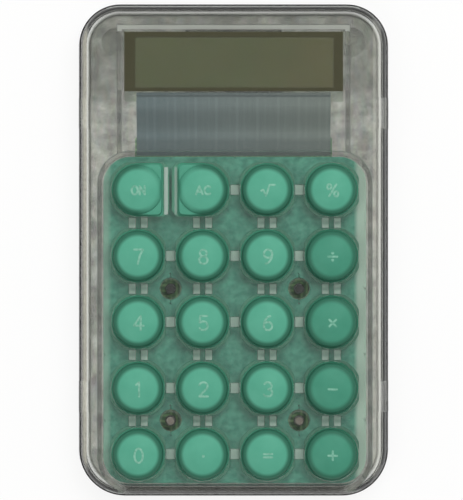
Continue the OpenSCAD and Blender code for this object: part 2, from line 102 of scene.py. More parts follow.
back_plastic, tree = new_material("smoky_clear_polystyrene_back_painted_shade")
place = add(tree, "TexCoord").outputs["Object"]
flow = add(tree, "TexNoise", {"Vector": place, "Scale": 1 / (3.85 * mm), "Detail": 4, "Roughness": 0.65})
mottle = add(tree, "MapRange", {"Value": flow.outputs["Fac"], "From Min": 0.34, "From Max": 0.66})
stretched = add(tree, "Mapping", {"Vector": place, "Scale": (1, 1 / 4, 1)})
streaks = add(tree, "TexNoise", {"Vector": stretched.outputs[0], "Scale": 1 / (1.11 * mm), "Detail": 2})
# The darker end of this cloud is partly painted shade for the shaded table behind the wall.
cloud = add(
    tree,
    "Mix",
    {"Factor": mottle.outputs[0], "A": linear("#8a8b85"), "B": linear("#dadbd4")},
    data_type="RGBA",
)
tint = add(
    tree,
    "Mix",
    {"Factor": 0.35, "A": cloud.outputs["Result"], "B": streaks.outputs["Color"]},
    data_type="RGBA",
    blend_type="SOFT_LIGHT",
)

# Painted shade: the back is greyer behind the display and past the last row of keys. The grey sets in over 4
# mm.
clear_low, clear_high, fade = -53.7 * mm, 35.3 * mm, 4 * mm
clear_y, clear_half = (clear_low + clear_high) / 2, (clear_high - clear_low) / 2
flat = add(tree, "SeparateXYZ", {"Vector": place})
from_middle = add(tree, "Math", {0: flat.outputs["Y"], 1: -clear_y}, operation="ADD")
endwards = add(tree, "Math", {0: from_middle.outputs[0]}, operation="ABSOLUTE")
end = add(
    tree,
    "MapRange",
    {"Value": endwards.outputs[0], "From Min": clear_half, "From Max": clear_half + fade, "To Max": 0.6},
)
grey = add(
    tree, "Mix", {"Factor": end.outputs[0], "A": (1, 1, 1, 1), "B": linear("#aaaba6")}, data_type="RGBA"
)
shade_greyed = add(
    tree,
    "Mix",
    {"Factor": 1.0, "A": tint.outputs["Result"], "B": grey.outputs["Result"]},
    data_type="RGBA",
    blend_type="MULTIPLY",
)
haze = add(tree, "MapRange", {"Value": flow.outputs["Fac"], "To Min": 0.06, "To Max": 0.3})
ripple = add(tree, "Bump", {"Height": flow.outputs["Fac"], "Strength": 0.6, "Distance": 0.4 * mm})
body = add(
    tree,
    "BsdfPrincipled",
    {
        "Base Color": shade_greyed.outputs["Result"],
        "Roughness": haze.outputs["Result"],
        "IOR": 1.59,
        "Transmission Weight": 1,
        "Normal": ripple.outputs["Normal"],
    },
)

# Light passes straight through the wall to what lies behind it, and the smoke in the plastic dims the view.
smoke = add(tree, "VolumeAbsorption", {"Color": linear("#5a5c58"), "Density": 55})
add(tree, "OutputMaterial", {"Surface": lit_through(tree, body, "#d6d8d3"), "Volume": smoke.outputs[0]})
give("bottom_shell", back_plastic)
give("battery_door", back_plastic)

# ---- Circuit board ----
# Phenolic paper laminate with a green solder mask printed over etched copper tracks. The tracks show as
# lighter lines, 1.31 mm apart, in blocks that run along or across. At Scale 1 a wave texture turns 20 radians
# a metre.
track_pitch = 1.309 * mm
wave_length = 2 * math.pi / 20
board_laminate, tree = new_material("phenolic_paper_laminate")
place = add(tree, "TexCoord").outputs["Object"]
lines = {"Vector": place, "Scale": wave_length / track_pitch, "Distortion": 0.3}
along = add(tree, "TexWave", lines, bands_direction="X")
across = add(tree, "TexWave", lines, bands_direction="Y")
blocks = add(tree, "TexChecker", {"Vector": place, "Scale": 1 / (7.69 * mm)})
tracks = add(
    tree,
    "Mix",
    {"Factor": blocks.outputs["Fac"], "A": along.outputs["Fac"], "B": across.outputs["Fac"]},
    data_type="FLOAT",
)
edge = add(tree, "MapRange", {"Value": tracks.outputs["Result"], "From Min": 0.55, "From Max": 0.75})
mask = add(
    tree,
    "Mix",
    {"Factor": edge.outputs["Result"], "A": linear("#638468"), "B": linear("#8bab82")},
    data_type="RGBA",
)
fibre = add(tree, "TexNoise", {"Vector": place, "Scale": 1 / (0.4 * mm), "Detail": 3})
tint = add(
    tree,
    "Mix",
    {"Factor": 0.25, "A": mask.outputs["Result"], "B": fibre.outputs["Color"]},
    data_type="RGBA",
    blend_type="OVERLAY",
)
relief = add(tree, "Bump", {"Height": edge.outputs["Result"], "Strength": 0.5, "Distance": 0.04 * mm})
body = add(
    tree,
    "BsdfPrincipled",
    {
        "Base Color": tint.outputs["Result"],
        "Roughness": 0.35,
        "IOR": 1.52,
        "Normal": relief.outputs["Normal"],
    },
)
add(tree, "OutputMaterial", {"Surface": body.outputs[0]})
give("circuit_board", board_laminate)


def grained(name, size, detail, dark, pale, looks, relief=None):
    """A material whose colour wanders between dark and pale in grains of a size in mm. Looks are further
    inputs of its shader, and relief is the strength of its bumps and their depth in mm."""
    made, tree = new_material(name)
    place = add(tree, "TexCoord").outputs["Object"]
    grain = add(tree, "TexNoise", {"Vector": place, "Scale": 1 / (size * mm), "Detail": detail})
    colours = {"Factor": grain.outputs["Fac"], "A": linear(dark), "B": linear(pale)}
    tint = add(tree, "Mix", colours, data_type="RGBA")
    body = add(tree, "BsdfPrincipled", {"Base Color": tint.outputs["Result"], **looks})
    if relief:
        waves = {"Height": grain.outputs["Fac"], "Strength": relief[0], "Distance": relief[1] * mm}
        tree.links.new(add(tree, "Bump", waves).outputs["Normal"], body.inputs["Normal"])
    add(tree, "OutputMaterial", {"Surface": body.outputs[0]})
    return made


# Printed carbon ink is matt black with a grainy surface.
give("carbon_contacts", grained("printed_carbon_ink", 0.2, 2, "#161617", "#2b2b2c", {"Roughness": 0.7}))

# The chip lies under a drop of black epoxy resin, which cures glossy with soft waves.
glossy = {"Roughness": 0.25, "IOR": 1.55}
give("driver_chip", grained("black_epoxy_resin", 1.667, 1, "#0e0e0f", "#1d1c1c", glossy, (0.4, 0.08)))


def span(node):
    """Lowest and highest corner of a CAD node in mm, to a thousandth."""
    return np.round(np.array(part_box(node)) / mm, 3)


# Chip capacitors and resistors of beige ceramic and tin, 5 mm apart from the left end of the first. The tin
# shows for 1.3 mm to both sides of each one's middle.
chip_pitch, chip_w, tinned_half = 5 * mm, 3.2 * mm, 1.3 * mm
first_x = span("board_components")[0, 0] * mm + chip_w / 2
chip_ceramic, tree = new_material("fired_ceramic_and_tin")
place = add(tree, "TexCoord").outputs["Object"]
flat = add(tree, "SeparateXYZ", {"Vector": place})
shifted = add(tree, "Math", {0: flat.outputs["X"], 1: -first_x - chip_pitch / 2}, operation="ADD")
folded = add(tree, "Math", {0: shifted.outputs[0], 1: chip_pitch / 2}, operation="PINGPONG")
tinned = add(tree, "Math", {0: folded.outputs[0], 1: chip_pitch / 2 - tinned_half}, operation="GREATER_THAN")
grain = add(tree, "TexNoise", {"Vector": place, "Scale": 1 / (0.25 * mm)})
clay = add(
    tree,
    "Mix",
    {"Factor": grain.outputs["Fac"], "A": linear("#8f7a5a"), "B": linear("#a8926e")},
    data_type="RGBA",
)
tint = add(
    tree,
    "Mix",
    {"Factor": tinned.outputs[0], "A": clay.outputs["Result"], "B": linear("#b9bab8")},
    data_type="RGBA",
)
body = add(
    tree,
    "BsdfPrincipled",
    {"Base Color": tint.outputs["Result"], "Metallic": tinned.outputs[0], "Roughness": 0.4},
)
add(tree, "OutputMaterial", {"Surface": body.outputs[0]})
give("board_components", chip_ceramic)

# ---- Battery and its springs ----
# A button cell in nickel-plated steel, and two spring strips of nickel-plated bronze that press on it.
# Rolling and handling leave fine lines along the metal.
cell_steel, tree = new_material("nickel_plated_steel")
stretched = add(tree, "Mapping", {"Vector": add(tree, "TexCoord").outputs["Object"], "Scale": (1, 0.08, 1)})
lines = add(tree, "TexNoise", {"Vector": stretched.outputs[0], "Scale": 1 / (0.1667 * mm), "Detail": 2})
tint = add(
    tree,
    "Mix",
    {"Factor": lines.outputs["Fac"], "A": linear("#a9aaab"), "B": linear("#d0d0cf")},
    data_type="RGBA",
)
shine = add(tree, "MapRange", {"Value": lines.outputs["Fac"], "To Min": 0.22, "To Max": 0.38})
body = add(
    tree,
    "BsdfPrincipled",
    {"Base Color": tint.outputs["Result"], "Metallic": 1, "Roughness": shine.outputs["Result"]},
)
add(tree, "OutputMaterial", {"Surface": body.outputs[0]})
for metal in ("button_cell", "negative_contact", "positive_contact"):
    give(metal, cell_steel)

# ---- Display ----
# A twisted nematic display: two soda-lime glasses between an olive polariser in front and a satin reflector
# behind. Printed film borders it, and two pads of closed-cell foam push it forward. Float glass is faintly
# green.
clear_glass = {"Roughness": 0.04, "IOR": 1.52, "Transmission Weight": 1}
display_glass = grained("soda_lime_glass", 11.11, 2, "#c9d3c8", "#dde4db", clear_glass)
give("front_glass", display_glass)
give("rear_glass", display_glass)

# The polariser film is olive, a little browner towards its right end, with a faint cloudiness from ageing.
polariser_film, tree = new_material("olive_polariser_film")
place = add(tree, "TexCoord").outputs["Object"]
flat = add(tree, "SeparateXYZ", {"Vector": place})
brown = {"Value": flat.outputs["X"], "From Min": 4 * mm, "From Max": 24 * mm}
aged = add(tree, "MapRange", brown, interpolation_type="SMOOTHSTEP")
olive = add(
    tree,
    "Mix",
    {"Factor": aged.outputs["Result"], "A": linear("#4d5225"), "B": linear("#565327")},
    data_type="RGBA",
)
cloud = add(tree, "TexNoise", {"Vector": place, "Scale": 1 / (6.67 * mm), "Detail": 3})
tint = add(
    tree,
    "Mix",
    {"Factor": 0.12, "A": olive.outputs["Result"], "B": cloud.outputs["Color"]},
    data_type="RGBA",
    blend_type="OVERLAY",
)
body = add(tree, "BsdfPrincipled", {"Base Color": tint.outputs["Result"], "Roughness": 0.3, "IOR": 1.49})
add(tree, "OutputMaterial", {"Surface": body.outputs[0]})
give("front_polariser", polariser_film)

# Behind the glass a film with a fine silvery grain throws the light back.
silvery = {"Metallic": 0.8, "Roughness": 0.5}
give("reflector", grained("satin_reflector_film", 0.333, 2, "#8d8f7c", "#a3a592", silvery))

# The border is printed dark olive, and the pads behind are grey foam with cells of about 0.3 mm.
printed = grained("dark_olive_printed_film", 0.4545, 3, "#4f4c36", "#5f5c43", {"Roughness": 0.55})
give("display_gasket", printed)

cushion_foam, tree = new_material("closed_cell_foam")
cells = add(
    tree, "TexVoronoi", {"Vector": add(tree, "TexCoord").outputs["Object"], "Scale": 1 / (0.303 * mm)}
)
tint = add(
    tree,
    "Mix",
    {"Factor": cells.outputs["Distance"], "A": linear("#2a2a2b"), "B": linear("#48484a")},
    data_type="RGBA",
)
relief = add(tree, "Bump", {"Height": cells.outputs["Distance"], "Strength": 0.8, "Distance": 0.1 * mm})
body = add(
    tree,
    "BsdfPrincipled",
    {"Base Color": tint.outputs["Result"], "Roughness": 0.9, "Normal": relief.outputs["Normal"]},
)
add(tree, "OutputMaterial", {"Surface": body.outputs[0]})
give("display_cushions", cushion_foam)

# ---- Ribbon ----
# The connector between glass and board is a polyester film printed with fine tracks. Real ones are too fine
# to show, so they are drawn 1.66 mm apart, in groups. A thin line of glue crosses it near the glass, and its
# end that is bonded to the board is darker.
line_pitch, group_pitch = 1.66 * mm, 2.45 * mm
glue_y, glue_half = 37.1 * mm, 0.3 * mm
board_end = span("circuit_board")[1, 1] * mm
ribbon_film, tree = new_material("printed_polyester_film")
place = add(tree, "TexCoord").outputs["Object"]
flat = add(tree, "SeparateXYZ", {"Vector": place})
fine = add(
    tree,
    "TexWave",
    {"Vector": place, "Scale": wave_length / line_pitch, "Distortion": 0.4, "Detail": 1},
    bands_direction="X",
)
group = add(
    tree,
    "TexWave",
    {"Vector": place, "Scale": wave_length / group_pitch, "Phase Offset": 1.1},
    bands_direction="X",
)
crests = add(tree, "MapRange", {"Value": fine.outputs["Fac"], "From Min": 0.45, "From Max": 0.9})
tracks = add(tree, "Math", {0: crests.outputs[0], 1: group.outputs["Fac"]}, operation="MULTIPLY")
side = add(tree, "MapRange", {"Value": flat.outputs["X"], "From Min": -20 * mm, "From Max": 20 * mm})
film = add(
    tree,
    "Mix",
    {"Factor": side.outputs["Result"], "A": linear("#697a80"), "B": linear("#7b8583")},
    data_type="RGBA",
)
ink = add(
    tree,
    "Mix",
    {"Factor": side.outputs["Result"], "A": linear("#73848b"), "B": linear("#838d8a")},
    data_type="RGBA",
)
lined = add(
    tree,
    "Mix",
    {"Factor": tracks.outputs[0], "A": film.outputs["Result"], "B": ink.outputs["Result"]},
    data_type="RGBA",
)
glue = add(tree, "Math", {0: flat.outputs["Y"], 1: glue_y, 2: glue_half}, operation="COMPARE")
bond = add(
    tree,
    "MapRange",
    {
        "Value": flat.outputs["Y"],
        "From Min": board_end + 0.3 * mm,
        "From Max": board_end - 0.9 * mm,
        "To Max": 0.6,
    },
)
crossed = add(tree, "Math", {0: glue.outputs[0], 1: bond.outputs[0]}, operation="MAXIMUM")
partly = add(tree, "Math", {0: crossed.outputs[0], 1: 0.6}, operation="MULTIPLY")
banded = add(
    tree,
    "Mix",
    {"Factor": partly.outputs[0], "A": lined.outputs["Result"], "B": linear("#3b484b")},
    data_type="RGBA",
)
body = add(tree, "BsdfPrincipled", {"Base Color": banded.outputs["Result"], "Roughness": 0.6, "IOR": 1.57})
add(tree, "OutputMaterial", {"Surface": body.outputs[0]})
give("ribbon_connector", ribbon_film)

# ---- Key mat ----
# One sheet of translucent green silicone rubber, 1 mm thick, moulded with a dome under every key and a hole
# for each screw boss. It is satin, with a fine eroded texture, and its sides are painted paler as painted
# light.
keypad = (
    ("key_on", "key_clear", "key_root", "key_percent"),
    ("key_7", "key_8", "key_9", "key_divide"),
    ("key_4", "key_5", "key_6", "key_multiply"),
    ("key_1", "key_2", "key_3", "key_minus"),
    ("key_0", "key_point", "key_equals", "key_plus"),
)
columns = np.array([span(name).mean(0)[0] for name in keypad[1]])
rows = np.array([span(row[3]).mean(0)[1] for row in keypad])
places = [(name, x, y) for row, y in zip(keypad, rows) for name, x in zip(row, columns)]
flange_low, key_top = span("key_7")[:, 2]
mat_low, mat_high = span("key_mat")
board_top = span("circuit_board")[1, 2]
sheet_t = 1
sheet_top = board_top + sheet_t

silicone, tree = new_material("green_silicone_rubber")
place = add(tree, "TexCoord").outputs["Object"]
cloud = add(tree, "TexNoise", {"Vector": place, "Scale": 1 / (1.923 * mm), "Detail": 4, "Roughness": 0.65})
mottle = add(tree, "MapRange", {"Value": cloud.outputs["Fac"], "From Min": 0.34, "From Max": 0.66})
tint = add(
    tree,
    "Mix",
    {"Factor": mottle.outputs[0], "A": linear("#439482"), "B": linear("#69baa3")},
    data_type="RGBA",
)

# Painted light: both sides of the mat, which the keys shade less, are painted paler, more so on the right. It
# grows over about 1 mm.
thin_in, thin_full, thick_in, thick_full = 1.95 * mm, 0.95 * mm, 2.75 * mm, 1.65 * mm
mat_x, mat_half = (mat_low[0] + mat_high[0]) / 2 * mm, (mat_high[0] - mat_low[0]) / 2 * mm
flat = add(tree, "SeparateXYZ", {"Vector": place})
from_middle = add(tree, "Math", {0: flat.outputs["X"], 1: mat_x}, operation="SUBTRACT")
outwards = add(tree, "Math", {0: from_middle.outputs[0]}, operation="ABSOLUTE")
both_sides = {"Value": outwards.outputs[0], "From Min": mat_half - thin_in, "From Max": mat_half - thin_full}
thin_side_light = add(tree, "MapRange", {**both_sides, "To Max": 0.45})
right_side = {"Value": flat.outputs["X"], "From Min": mat_half - thick_in, "From Max": mat_half - thick_full}
thick_side_light = add(tree, "MapRange", right_side)
side_light_share = add(tree, "Math", {0: thin_side_light.outputs[0], 1: thick_side_light.outputs[0]}, operation="MAXIMUM")
pale = {"Factor": side_light_share.outputs[0], "A": tint.outputs["Result"], "B": linear("#c0d9cc")}
side_lit = add(tree, "Mix", pale, data_type="RGBA")
grit = add(tree, "TexNoise", {"Vector": place, "Scale": 1 / (0.2857 * mm), "Detail": 2})
relief = add(tree, "Bump", {"Height": grit.outputs["Fac"], "Strength": 0.3, "Distance": 0.05 * mm})
body = add(
    tree,
    "BsdfPrincipled",
    {
        "Base Color": side_lit.outputs["Result"],
        "Roughness": 0.5,
        "IOR": 1.41,
        "Subsurface Weight": 0.25,
        "Subsurface Radius": (0.5, 1, 0.8),
        "Subsurface Scale": 0.8 * mm,
        "Normal": relief.outputs["Normal"],
    },
)
add(tree, "OutputMaterial", {"Surface": body.outputs[0]})


def ringed(name, rings, material):
    """A closed solid through rings of points, an array of rings x points x 3 in mm. Each end is closed by a
    fan to the middle of its ring, and the faces are turned so that the volume inside them is positive."""
    count, around = rings.shape[:2]
    points = np.vstack([rings.reshape(-1, 3), rings[0].mean(0), rings[-1].mean(0)]) * mm
    index = np.arange(count * around).reshape(count, around)
    after = np.roll(index, -1, axis=1)
    quads = np.stack([index[:-1], index[1:], after[1:], after[:-1]], axis=-1).reshape(-1, 4)
    first, last = np.full(around, count * around), np.full(around, count * around + 1)
    fans = np.vstack([np.stack([first, index[0], after[0]], -1), np.stack([last, after[-1], index[-1]], -1)])
    corners = np.vstack([quads[:, :3], quads[:, [0, 2, 3]], fans])
    a, b, c = (points[corners[:, i]] for i in range(3))
    if np.einsum("ij,ij->i", a, np.cross(b, c)).sum() < 0:
        quads, fans = quads[:, ::-1], fans[:, ::-1]
    mesh = bpy.data.meshes.new(name)
    mesh.from_pydata(points.tolist(), [], quads.tolist() + fans.tolist())
    mesh.materials.append(material)
    mesh.shade_smooth()
    mesh.set_sharp_from_angle(angle=math.radians(40))
    made = bpy.data.objects.new(name, mesh)
    bpy.context.scene.collection.objects.link(made)
    return made


def turned(name, x, y, profile, material, around=96):
    """A solid turned about the vertical through x, y: each radius and height of its profile is a ring."""
    angle = np.arange(around) * 2 * math.pi / around
    radius, height = np.array(profile, float).T
    rings = np.stack(
        [
            x + radius[:, None] * np.cos(angle),
            y + radius[:, None] * np.sin(angle),
            np.repeat(height[:, None], around, 1),
        ],
        -1,
    )
    return ringed(name, rings, material)


# The sheet is laid out in one cell for each key, from the foot of its dome out to the border of the cell.
# Borders run half way to the next key, or along the rounded edge of the mat, and a boss takes a bite out of
# a corner.
base_r, hole_r, corner_r = 6.2, 2.6, 6.5
half_x, half_y = np.round([(columns[1] - columns[0]) / 2, (rows[0] - rows[1]) / 2], 3)
reach_left, reach_right = np.round([columns[0] - mat_low[0], mat_high[0] - columns[-1]], 3)
reach_up, reach_down = np.round([mat_high[1] - rows[0], rows[-1] - mat_low[1]], 3)
corners = np.array([math.atan2(b, a) for a in (half_x, reach_left) for b in (half_y, reach_up, reach_down)])
even = np.linspace(0, 2 * math.pi, 144, endpoint=False)
angle = np.concatenate([even, corners, math.pi - corners, math.pi + corners, 2 * math.pi - corners])
angle = np.unique(np.round(angle, 9))


def along_ray(centre, radius, far):
    """How far a ray from the origin at each angle runs before it meets a circle: the near or the far root of
    the quadratic in the distance, or infinity where it misses."""
    middle = centre[0] * np.cos(angle) + centre[1] * np.sin(angle)
    root = middle**2 - centre[0] ** 2 - centre[1] ** 2 + radius**2
    met = middle + (1 if far else -1) * np.sqrt(np.maximum(root, 0))
    return np.where((root > 0) & (met > 0), met, np.inf)


def cell_border(column, row):
    """Distance from a key's middle to the border of its cell at each angle: the nearest side of a rectangle,
    the arc of a rounded corner where the ray passes through one, or the bite of a boss."""
    right = reach_right if column == 3 else half_x
    left = reach_left if column == 0 else half_x
    up = reach_up if row == 0 else half_y
    down = reach_down if row == 4 else half_y
    across, along = np.cos(angle), np.sin(angle)
    with np.errstate(divide="ignore"):
        to_side = np.where(across > 0, right, left) / np.abs(across)
        to_end = np.where(along > 0, up, down) / np.abs(along)
    border = np.minimum(to_side, to_end)
    for sx, sy, w, h in ((1, 1, right, up), (1, -1, right, down), (-1, 1, left, up), (-1, -1, left, down)):
        outer = (column == (3 if sx > 0 else 0)) and (row == (0 if sy > 0 else 4))
        boss = (column + (sx > 0)) in (1, 3) and (row + (sy < 0)) in (2, 4)
        if outer:
            middle = (sx * (w - corner_r), sy * (h - corner_r))
            arc = along_ray(middle, corner_r, True)
            inside = (sx * (arc * across - middle[0]) > 0) & (sy * (arc * along - middle[1]) > 0)
            border = np.where(inside, np.minimum(border, arc), border)
        if boss:
            border = np.minimum(border, along_ray((sx * w, sy * h), hole_r, False))
    return border


steps = np.linspace(0, 1, 7)[:, None]
points, faces = [], []
for r in range(5):
    for c in range(4):
        border = cell_border(c, r)
        radius = base_r + steps * (border - base_r)
        across, along = radius * np.cos(angle), radius * np.sin(angle)
        ring = np.stack([columns[c] + across, rows[r] + along, np.full_like(radius, sheet_top)], -1)
        index = np.arange(ring.shape[0] * ring.shape[1]).reshape(ring.shape[:2]) + sum(len(p) for p in points)
        after = np.roll(index, -1, axis=1)
        points.append(ring.reshape(-1, 3))
        faces.append(np.stack([index[:-1], index[1:], after[1:], after[:-1]], -1).reshape(-1, 4))
mesh = bpy.data.meshes.new("rubber_mat_sheet")
mesh.from_pydata((np.vstack(points) * mm).tolist(), [], np.vstack(faces).tolist())
mesh.materials.append(silicone)
mesh.shade_smooth()
sheet = bpy.data.objects.new("rubber_mat_sheet", mesh)
bpy.context.scene.collection.objects.link(sheet)
weld = sheet.modifiers.new("one sheet", "WELD")
weld.merge_threshold = 0.01 * mm
wall = sheet.modifiers.new("sheet thickness", "SOLIDIFY")
wall.thickness, wall.offset = sheet_t * mm, -1
rim = sheet.modifiers.new("moulded edge", "BEVEL")
rim.width, rim.segments, rim.limit_method, rim.angle_limit = 0.18 * mm, 2, "ANGLE", math.radians(50)
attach(sheet, "case")
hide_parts("key_mat")

# Each dome is a thin cone with a soft foot and shoulder, a post that carries the key and a peg that the key
# is pressed onto. It is part of the sheet.
peg_r, post_r, cavity_r, web_r, pill_r, pole_r = 2.9, 4.4, 5.4, 3.9, 2, 0.2
peg_top, dome_top = mat_high[2], flange_low - 0.05
post_low, ceiling, pill_low = dome_top - 1, board_top + 1.95, board_top + 1.25
dome_profile = [
    (pole_r, peg_top),
    (peg_r - 0.3, peg_top),
    (peg_r - 0.05, peg_top - 0.15),
    (peg_r, peg_top - 0.35),
    (peg_r, dome_top),
    (post_r - 0.2, dome_top),
    (post_r - 0.05, dome_top - 0.1),
    (post_r, dome_top - 0.25),
    (post_r, post_low),
    (post_r + 0.1, post_low - 0.25),
    (base_r - 0.5, sheet_top + 0.25),
    (base_r - 0.25, sheet_top + 0.05),
    (base_r, sheet_top),
    (base_r, board_top),
    (cavity_r, board_top),
    (cavity_r, board_top + 0.6),
    (web_r, ceiling),
    (pill_r + 0.05, ceiling),
    (pill_r, pill_low + 0.05),
    (pill_r - 0.1, pill_low),
    (pole_r, pill_low),
]
for name, x, y in places:
    dome = turned("rubber_dome_" + name[4:], x, y, dome_profile, silicone)
    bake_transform(dome)
    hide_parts("key_mat")

# ---- Keys ----
# Twenty keys of mint ABS, sea green for the four operators, injection moulded with a satin eroded finish.
# The first two are D-shaped: the same dome on a square side that faces the bar between them.
key_r, crown, edge_r, pole_share = 6.05, 1.3, 1.1, 0.02
soft, flange_soft, side_soft, bulge = 0.1, 0.12, 0.15, 0.04
crown_r = (key_r**2 + crown**2) / (2 * crown)
crown_z = key_top - crown_r
step_z = key_top - crown - 0.4
flange_r, flange_t, hollow_r, hollow_h = 7.2, 0.9, 3.1, 1.9
flange_top = flange_low + flange_t
key_flat = (span("key_7")[1, 0] - span("key_7")[0, 0]) / 2
pair_face, pair_flat, pair_flange_r, pair_lip = 5.65, span("key_on")[1, 0] - columns[0], 9, 0.1
bar_x = (columns[0] + columns[1]) / 2


def key_plastic(name, dark, pale):
    """ABS with slow colour clouds between dark and pale, satin, with grit of 0.3 mm, drawn coarse so that it
    shows. Painted shade darkens the edge of a dome below 14.5 mm, for the shadow in the gap round each key,
    and the flange half as much. On the square sides of the first two keys, near the bar, only a third of it
    is left."""
    made, tree = new_material(name)
    place = add(tree, "TexCoord").outputs["Object"]
    cloud = add(tree, "TexNoise", {"Vector": place, "Scale": 1 / (3.85 * mm), "Detail": 4, "Roughness": 0.55})
    colours = {"Factor": cloud.outputs["Fac"], "A": linear(dark), "B": linear(pale)}
    tint = add(tree, "Mix", colours, data_type="RGBA")
    flat = add(tree, "SeparateXYZ", {"Vector": place})
    height = flat.outputs["Z"]
    # Painted shade: darker on the dome's edge below 14.5 mm, and half as dark on the flange.
    rim = add(tree, "MapRange", {"Value": height, "From Min": 14.5 * mm, "From Max": 14.24 * mm})
    side = add(
        tree, "MapRange", {"Value": height, "From Min": 11.2 * mm, "From Max": 12.2 * mm, "To Min": 0.45}
    )
    from_bar = add(tree, "Math", {0: flat.outputs["X"], 1: -bar_x * mm}, operation="ADD")
    sideways = add(tree, "Math", {0: from_bar.outputs[0]}, operation="ABSOLUTE")
    shade_eased_by_bar = {"Value": sideways.outputs[0], "From Min": 5 * mm, "From Max": 8 * mm, "To Min": 0.3, "To Max": 1}
    square = add(tree, "MapRange", shade_eased_by_bar)
    first_row_low = (rows[0] - 7) * mm
    other_rows = add(tree, "Math", {0: flat.outputs["Y"], 1: first_row_low}, operation="LESS_THAN")
    shade_kept = add(tree, "Math", {0: square.outputs[0], 1: other_rows.outputs[0]}, operation="MAXIMUM")
    rim_and_flange_shade = add(tree, "Math", {0: rim.outputs[0], 1: side.outputs[0]}, operation="MULTIPLY")
    key_painted_shade = add(tree, "Math", {0: rim_and_flange_shade.outputs[0], 1: shade_kept.outputs[0]}, operation="MULTIPLY")
    key_shade_colour = {"Factor": key_painted_shade.outputs[0], "A": tint.outputs["Result"], "B": linear("#2e6b55")}
    wear_and_painted_light = add(tree, "Mix", key_shade_colour, data_type="RGBA")
    grit = add(tree, "TexNoise", {"Vector": place, "Scale": 1 / (0.333 * mm), "Detail": 2})
    gloss = add(tree, "MapRange", {"Value": grit.outputs["Fac"], "To Min": 0.36, "To Max": 0.54})
    relief = add(tree, "Bump", {"Height": grit.outputs["Fac"], "Strength": 0.25, "Distance": 0.03 * mm})
    body = add(
        tree,
        "BsdfPrincipled",
        {
            "Base Color": wear_and_painted_light.outputs["Result"],
            "Roughness": gloss.outputs["Result"],
            "IOR": 1.54,
            "Normal": relief.outputs["Normal"],
        },
    )
    add(tree, "OutputMaterial", {"Surface": body.outputs[0]})
    return made


mint = key_plastic("mint_abs", "#48997f", "#5aaa8f")
sea_green = key_plastic("sea_green_abs", "#37836a", "#48947b")


def key_rings(x, y, side):
    """Rings of a key from the middle of its dome down its side, round its flange and up into the hollow for
    the peg. The dome is part of a sphere, and an arc that touches both sphere and side rounds its edge. A
    paired key's square side is a superellipse, the twelfth root of the sum of twelfth powers. Its dome
    stands back by a lip."""
    angle = np.linspace(0, 2 * math.pi, 128, endpoint=False)
    across, along = np.cos(angle) * (side or 1), np.sin(angle)
    round_r = np.full_like(angle, key_r)
    paired = (side != 0) & (across > 0)
    power = 12
    square = ((np.abs(across) / pair_face) ** power + (np.abs(along) / key_r) ** power) ** (-1 / power)
    plan = np.where(paired, square, round_r)
    top = np.minimum(round_r, plan) - (pair_lip if side else 0)
    with np.errstate(divide="ignore"):
        flat_x = np.where(paired, pair_flat, key_flat) / np.abs(across)
        flat_y = key_flat / np.abs(along)
    flange = np.minimum(np.where(paired, pair_flange_r, flange_r), np.minimum(flat_x, flat_y))
    core = top - edge_r
    edge_z = crown_z + np.sqrt((crown_r - edge_r) ** 2 - core**2)
    lean = np.arcsin(core / (crown_r - edge_r))
    rings = []
    for share in (pole_share, 0.15, 0.3, 0.45, 0.6, 0.75, 0.9):
        radius = share * (core + edge_r * np.sin(lean))
        rings.append((radius, crown_z + np.sqrt(crown_r**2 - radius**2)))
    for share in np.linspace(0, 1, 7):
        tilt = lean + share * (math.pi / 2 - lean)
        height = edge_z + edge_r * np.cos(tilt)
        rings.append((core + edge_r * np.sin(tilt), np.maximum(height, step_z) if side else height))
    if side:
        rings += [(top, step_z), (np.maximum(top + 0.03, plan - side_soft), step_z)]
        rings += [(plan - bulge, step_z - bulge), (plan, step_z - side_soft)]
    rings += [(plan, flange_top + soft), (plan + soft, flange_top)]
    rings += [(flange - flange_soft, flange_top), (flange, flange_top - flange_soft)]
    rings += [(flange, flange_low + soft), (flange - soft, flange_low)]
    rings += [(hollow_r + soft, flange_low), (hollow_r, flange_low + soft)]
    rings += [(hollow_r, flange_low + hollow_h), (pole_r, flange_low + hollow_h)]
    whole = [(np.broadcast_to(r, angle.shape), np.broadcast_to(z, angle.shape)) for r, z in rings]
    return np.stack([np.stack([x + r * np.cos(angle), y + r * np.sin(angle), z], -1) for r, z in whole])


operators = {"key_divide", "key_multiply", "key_minus", "key_plus"}
for name, x, y in places:
    side = {"key_on": 1, "key_clear": -1}.get(name, 0)
    key = ringed("cap_" + name[4:], key_rings(x, y, side), sea_green if name in operators else mint)
    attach(key, name)
    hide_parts(name)

# ---- Legends ----
# Pad-printed figures and signs in a pale green ink, in 0.5 mm lines. The figures are 3.9 mm high, and each
# sign sits a little right of and below the middle of its dome. Use has thinned the ink here and there.
line_half, dot_half, ink_t, ink_root = 0.25, 0.34, 0.03, 0.05
shift = np.array([0.2, -0.2])
legend_ink, tree = new_material("pale_green_printing_ink")
place = add(tree, "TexCoord").outputs["Object"]
wear_and_painted_light = add(tree, "TexNoise", {"Vector": place, "Scale": 1 / (0.667 * mm), "Detail": 3})
patchy = add(tree, "MapRange", {"Value": wear_and_painted_light.outputs["Fac"], "From Min": 0.35, "From Max": 0.6})
tint = add(
    tree,
    "Mix",
    {"Factor": patchy.outputs["Result"], "A": linear("#62a189"), "B": linear("#82b9a2")},
    data_type="RGBA",
)
body = add(tree, "BsdfPrincipled", {"Base Color": tint.outputs["Result"], "Roughness": 0.5})
add(tree, "OutputMaterial", {"Surface": body.outputs[0]})


def arc(x, y, rx, ry, start, end):
    """Points along an ellipse about x, y between two angles in degrees."""
    turn = np.radians(np.linspace(start, end, 25))
    return np.stack([x + rx * np.cos(turn), y + ry * np.sin(turn)], -1)


def line(*numbers):
    """Points of a broken line, from x and y in turn."""
    return np.array(numbers, float).reshape(-1, 2)


def loop(x, y, rx, ry):
    """A whole ellipse that overlaps itself a little where it ends."""
    return arc(x, y, rx, ry, 90, 455)


